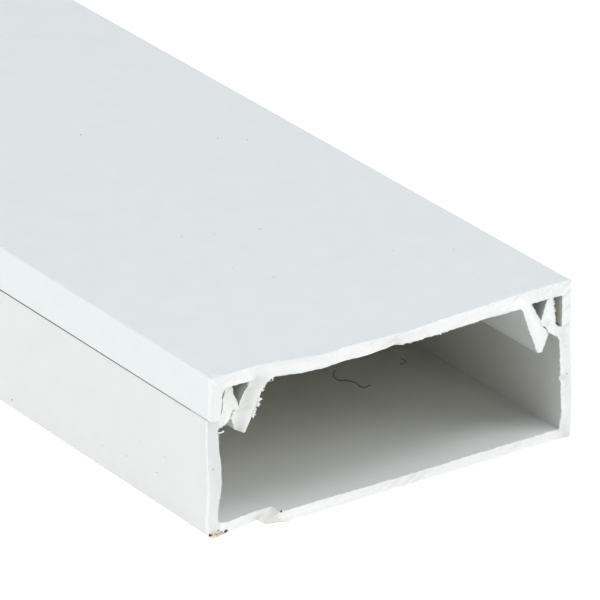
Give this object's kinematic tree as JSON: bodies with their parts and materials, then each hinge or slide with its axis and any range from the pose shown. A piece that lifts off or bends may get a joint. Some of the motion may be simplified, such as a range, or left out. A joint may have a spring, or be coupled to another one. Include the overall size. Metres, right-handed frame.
{
  "type": "cord cover raceway",
  "caption": "Surface-mounted cord cover: a U-shaped channel for cables with a clip-on lid, extruded in white rigid plastic, one end sawn by hand.",
  "frame": {"origin": "middle of the flat back of the channel, half way along its length", "axes": "+X across the width, +Y along the length from the sawn end to the square end, +Z out of the back through the face of the lid"},
  "size_m": [0.04, 1, 0.016],
  "materials": {
    "channel_upvc": "satin extruded rigid PVC, white",
    "lid_upvc": "satin extruded rigid PVC, white with a cool cast"
  },
  "bodies": {
    "channel": {"base_channel": "channel_upvc"},
    "lid": {"clip_lid": "lid_upvc"}
  },
  "joints": [
    {"name": "lid_slide", "type": "slide", "parent": "channel", "child": "lid", "axis": [0, 1, 0], "range_m": [-0.9, 0.9]}
  ]
}
